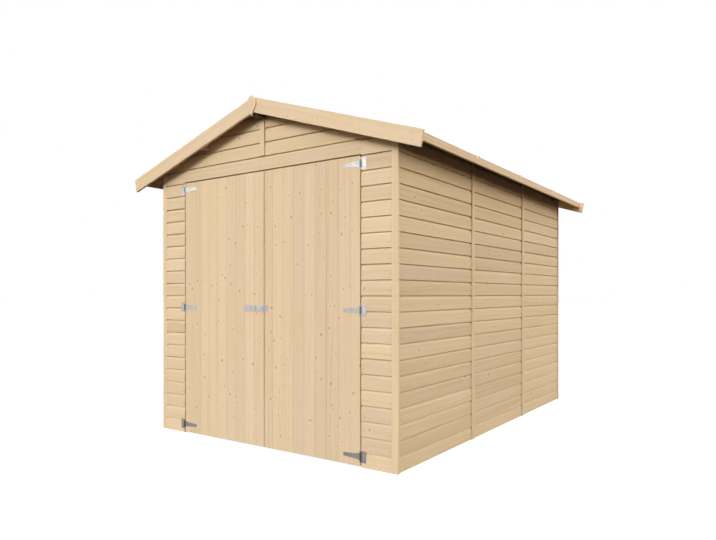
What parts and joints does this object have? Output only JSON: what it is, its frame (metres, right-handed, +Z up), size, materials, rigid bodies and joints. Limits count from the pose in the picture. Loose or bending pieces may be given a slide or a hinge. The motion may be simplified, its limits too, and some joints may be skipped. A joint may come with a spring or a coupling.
{
  "type": "wooden garage",
  "caption": "Wooden garage with an apex roof, panelled board walls and a boarded double door in the front gable.",
  "frame": {"origin": "centre of the footprint, on the ground", "axes": "+X to the right seen from the front, +Y from the front gable to the rear, +Z up; the doors face -Y"},
  "size_m": [2.482, 3.183, 2.2767],
  "materials": {
    "wall_boards": "planed raw spruce shiplap, matt",
    "door_boards": "planed raw spruce boards, matt",
    "trim_wood": "planed raw spruce, matt",
    "roof_boards": "planed raw spruce boards, matt",
    "frame_wood": "sawn raw spruce, matt",
    "galvanised": "galvanised, dull"
  },
  "bodies": {
    "root": {"front_wall_left": "wall_boards", "front_wall_right": "wall_boards", "front_gable": "wall_boards", "end_battens": "trim_wood", "right_wall_front": "wall_boards", "right_wall_middle": "wall_boards", "right_wall_rear": "wall_boards", "left_wall_front": "wall_boards", "left_wall_middle": "wall_boards", "left_wall_rear": "wall_boards", "rear_wall_left": "wall_boards", "rear_wall_right": "wall_boards", "side_battens": "trim_wood", "corner_trims": "trim_wood", "side_studs": "frame_wood", "end_studs": "frame_wood", "side_plates": "frame_wood", "end_plates": "frame_wood", "ridge_purlin": "frame_wood", "side_purlins": "frame_wood", "right_roof_1": "roof_boards", "right_roof_2": "roof_boards", "right_roof_3": "roof_boards", "right_roof_4": "roof_boards", "left_roof_1": "roof_boards", "left_roof_2": "roof_boards", "left_roof_3": "roof_boards", "left_roof_4": "roof_boards", "roof_strips": "trim_wood", "fascias": "trim_wood", "front_barge_left": "trim_wood", "front_barge_right": "trim_wood", "rear_barge_left": "trim_wood", "rear_barge_right": "trim_wood", "finials": "trim_wood", "hinge_plates": "galvanised"},
    "left_door": {"left_leaf": "door_boards", "left_ledges": "frame_wood", "meeting_strip": "frame_wood", "left_straps": "galvanised", "hasp": "galvanised"},
    "right_door": {"right_leaf": "door_boards", "right_ledges": "frame_wood", "right_straps": "galvanised", "staple": "galvanised"}
  },
  "joints": [
    {"name": "left_door_hinge", "type": "hinge", "parent": "root", "child": "left_door", "pos_m": [-0.777, -1.4875, 0.91], "axis": [0, 0, -1], "range_deg": [0, 150]},
    {"name": "right_door_hinge", "type": "hinge", "parent": "root", "child": "right_door", "pos_m": [0.777, -1.4875, 0.91], "axis": [0, 0, 1], "range_deg": [0, 150]}
  ]
}
